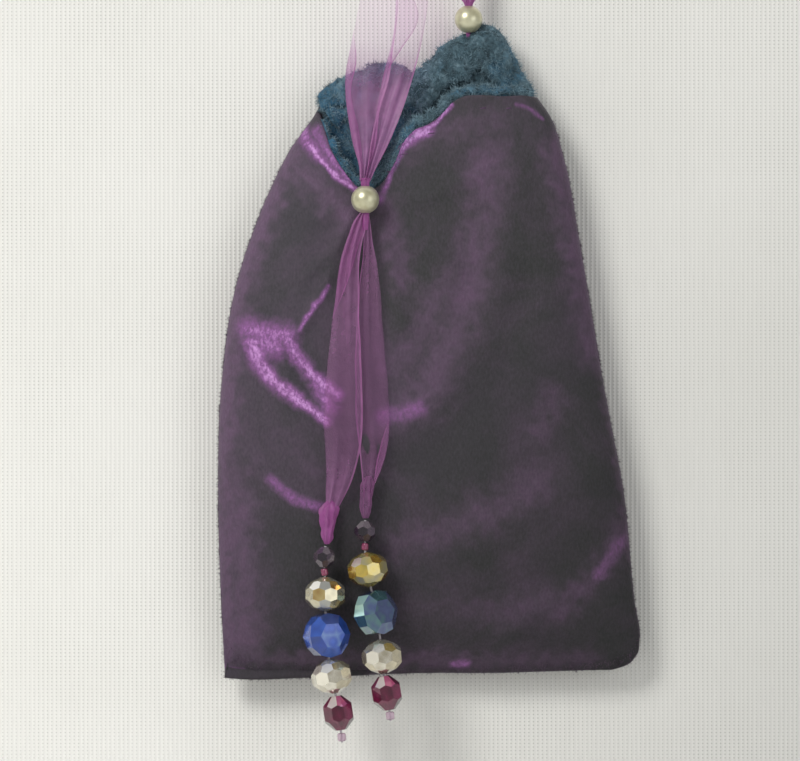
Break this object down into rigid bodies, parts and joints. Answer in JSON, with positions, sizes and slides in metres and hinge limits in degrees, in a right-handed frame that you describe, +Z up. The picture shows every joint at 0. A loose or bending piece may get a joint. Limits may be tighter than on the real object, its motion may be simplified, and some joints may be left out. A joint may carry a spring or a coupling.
{
  "type": "drawstring dice bag",
  "caption": "Small flat velvet drawstring pouch with a plush lining, a sheer ribbon loop held by pearl sliders and ribbon tails that end in faceted glass bead dangles.",
  "frame": {"origin": "underside of the ribbon loop's top, where the pouch hangs from a peg or hand", "axes": "+Z up, +X to the viewer's right, -Y out of the pouch's front; the peg lies along Y"},
  "size_m": [0.0904, 0.0203, 0.179],
  "materials": {
    "velvet": "deep purple panne velvet, crushed pile",
    "plush_lining": "blue-green plush, deep pile",
    "sewing_thread": "matt sewing thread",
    "organza_ribbon": "sheer magenta organza",
    "pearl": "champagne-gold pearl",
    "bead_thread": "clear beading thread",
    "smoky_glass": "smoky purple faceted glass",
    "amber_glass": "amber faceted glass with a gold coat",
    "blue_glass": "blue table-cut glass with a rainbow coat",
    "champagne_glass": "champagne faceted glass with a metallic coat",
    "garnet_glass": "garnet faceted glass",
    "pink_glass": "clear pink glass"
  },
  "bodies": {
    "root": {"velvet_back_panel": "velvet", "lining_back_panel": "plush_lining", "lining_rear_hem": "plush_lining", "velvet_front_panel": "velvet", "lining_front_panel": "plush_lining", "left_side_seam": "sewing_thread", "right_side_seam": "sewing_thread", "bottom_seam": "sewing_thread", "rear_hem_stitches": "sewing_thread", "rear_ribbon_gather": "organza_ribbon", "neck_ribbon_left": "organza_ribbon", "neck_ribbon_right": "organza_ribbon"},
    "front_lip": {"velvet_front_lip": "velvet", "lining_front_lip": "plush_lining", "front_lip_stitches": "sewing_thread", "front_ribbon_tack": "sewing_thread"},
    "drop": {"front_ribbon_gather": "organza_ribbon"},
    "front_pearl": {"front_pearl": "pearl"},
    "rear_pearl": {"rear_pearl": "pearl"},
    "tail_left": {"tail_ribbon_left": "organza_ribbon", "tail_knot_left": "organza_ribbon"},
    "dangle_left": {"bead_thread_left": "bead_thread", "spacer_seed_left": "pink_glass", "stopper_seed_left": "pink_glass"},
    "smoky_bead_left": {"smoky_bead_left": "smoky_glass"},
    "gold_bead_left": {"gold_bead_left": "amber_glass"},
    "blue_bead_left": {"blue_bead_left": "blue_glass"},
    "champagne_bead_left": {"champagne_bead_left": "champagne_glass"},
    "garnet_bead_left": {"garnet_bead_left": "garnet_glass"},
    "tail_right": {"tail_ribbon_right": "organza_ribbon", "tail_knot_right": "organza_ribbon"},
    "dangle_right": {"bead_thread_right": "bead_thread", "spacer_seed_right": "pink_glass", "stopper_seed_right": "pink_glass"},
    "smoky_bead_right": {"smoky_bead_right": "smoky_glass"},
    "gold_bead_right": {"gold_bead_right": "amber_glass"},
    "blue_bead_right": {"blue_bead_right": "blue_glass"},
    "champagne_bead_right": {"champagne_bead_right": "champagne_glass"},
    "garnet_bead_right": {"garnet_bead_right": "garnet_glass"}
  },
  "joints": [
    {"name": "mouth_open", "type": "hinge", "parent": "root", "child": "front_lip", "pos_m": [0, -0.0095, -0.092], "axis": [1, 0, 0], "range_deg": [0, 15], "deforming": ["neck_ribbon_left", "neck_ribbon_right"]},
    {"name": "drop_level", "type": "hinge", "parent": "front_lip", "child": "drop", "pos_m": [-0.0138, -0.0114, -0.0573], "axis": [1, 0, 0], "range_deg": [-15, 0]},
    {"name": "front_pearl_slide", "type": "slide", "parent": "drop", "child": "front_pearl", "axis": [0, 0, 1], "range_m": [-0.004, 0]},
    {"name": "rear_pearl_slide", "type": "slide", "parent": "root", "child": "rear_pearl", "axis": [0, 0, 1], "range_m": [0, 0.008]},
    {"name": "tail_left_swing", "type": "hinge", "parent": "drop", "child": "tail_left", "pos_m": [-0.0138, -0.0114, -0.0644], "axis": [0, 1, 0], "range_deg": [0, 20]},
    {"name": "dangle_left_swing", "type": "hinge", "parent": "tail_left", "child": "dangle_left", "pos_m": [-0.0223, -0.0116, -0.1344], "axis": [-1, 0, 0], "range_deg": [0, 35]},
    {"name": "smoky_bead_left_spin", "type": "hinge", "parent": "dangle_left", "child": "smoky_bead_left", "pos_m": [-0.02245, -0.0118, -0.13705], "axis": [0.0637, 0, 0.998], "continuous": true},
    {"name": "gold_bead_left_spin", "type": "hinge", "parent": "dangle_left", "child": "gold_bead_left", "pos_m": [-0.0223, -0.0118, -0.14495], "axis": [0, 0, 1], "continuous": true},
    {"name": "blue_bead_left_spin", "type": "hinge", "parent": "dangle_left", "child": "blue_bead_left", "pos_m": [-0.022, -0.0118, -0.1537], "axis": [-0.0611, 0, 0.9981], "continuous": true},
    {"name": "champagne_bead_left_spin", "type": "hinge", "parent": "dangle_left", "child": "champagne_bead_left", "pos_m": [-0.0209, -0.0118, -0.1624], "axis": [-0.206, 0, 0.9785], "continuous": true},
    {"name": "garnet_bead_left_spin", "type": "hinge", "parent": "dangle_left", "child": "garnet_bead_left", "pos_m": [-0.0195, -0.0118, -0.1702], "axis": [-0.1483, 0, 0.9889], "continuous": true},
    {"name": "tail_right_swing", "type": "hinge", "parent": "drop", "child": "tail_right", "pos_m": [-0.0138, -0.0114, -0.0644], "axis": [0, -1, 0], "range_deg": [0, 20]},
    {"name": "dangle_right_swing", "type": "hinge", "parent": "tail_right", "child": "dangle_right", "pos_m": [-0.0138, -0.0116, -0.1289], "axis": [-1, 0, 0], "range_deg": [0, 35]},
    {"name": "smoky_bead_right_spin", "type": "hinge", "parent": "dangle_right", "child": "smoky_bead_right", "pos_m": [-0.0138, -0.0118, -0.13155], "axis": [0, 0, 1], "continuous": true},
    {"name": "gold_bead_right_spin", "type": "hinge", "parent": "dangle_right", "child": "gold_bead_right", "pos_m": [-0.01325, -0.0118, -0.1397], "axis": [-0.1644, 0, 0.9864], "continuous": true},
    {"name": "blue_bead_right_spin", "type": "hinge", "parent": "dangle_right", "child": "blue_bead_right", "pos_m": [-0.01155, -0.0118, -0.1489], "axis": [-0.1943, 0, 0.9809], "continuous": true},
    {"name": "champagne_bead_right_spin", "type": "hinge", "parent": "dangle_right", "child": "champagne_bead_right", "pos_m": [-0.0102, -0.0118, -0.1582], "axis": [-0.0748, 0, 0.9972], "continuous": true},
    {"name": "garnet_bead_right_spin", "type": "hinge", "parent": "dangle_right", "child": "garnet_bead_right", "pos_m": [-0.00925, -0.0118, -0.16595], "axis": [-0.1708, 0, 0.9853], "continuous": true}
  ],
  "couplings": [
    {"joint": "drop_level", "follows": "mouth_open", "ratio": -1}
  ]
}
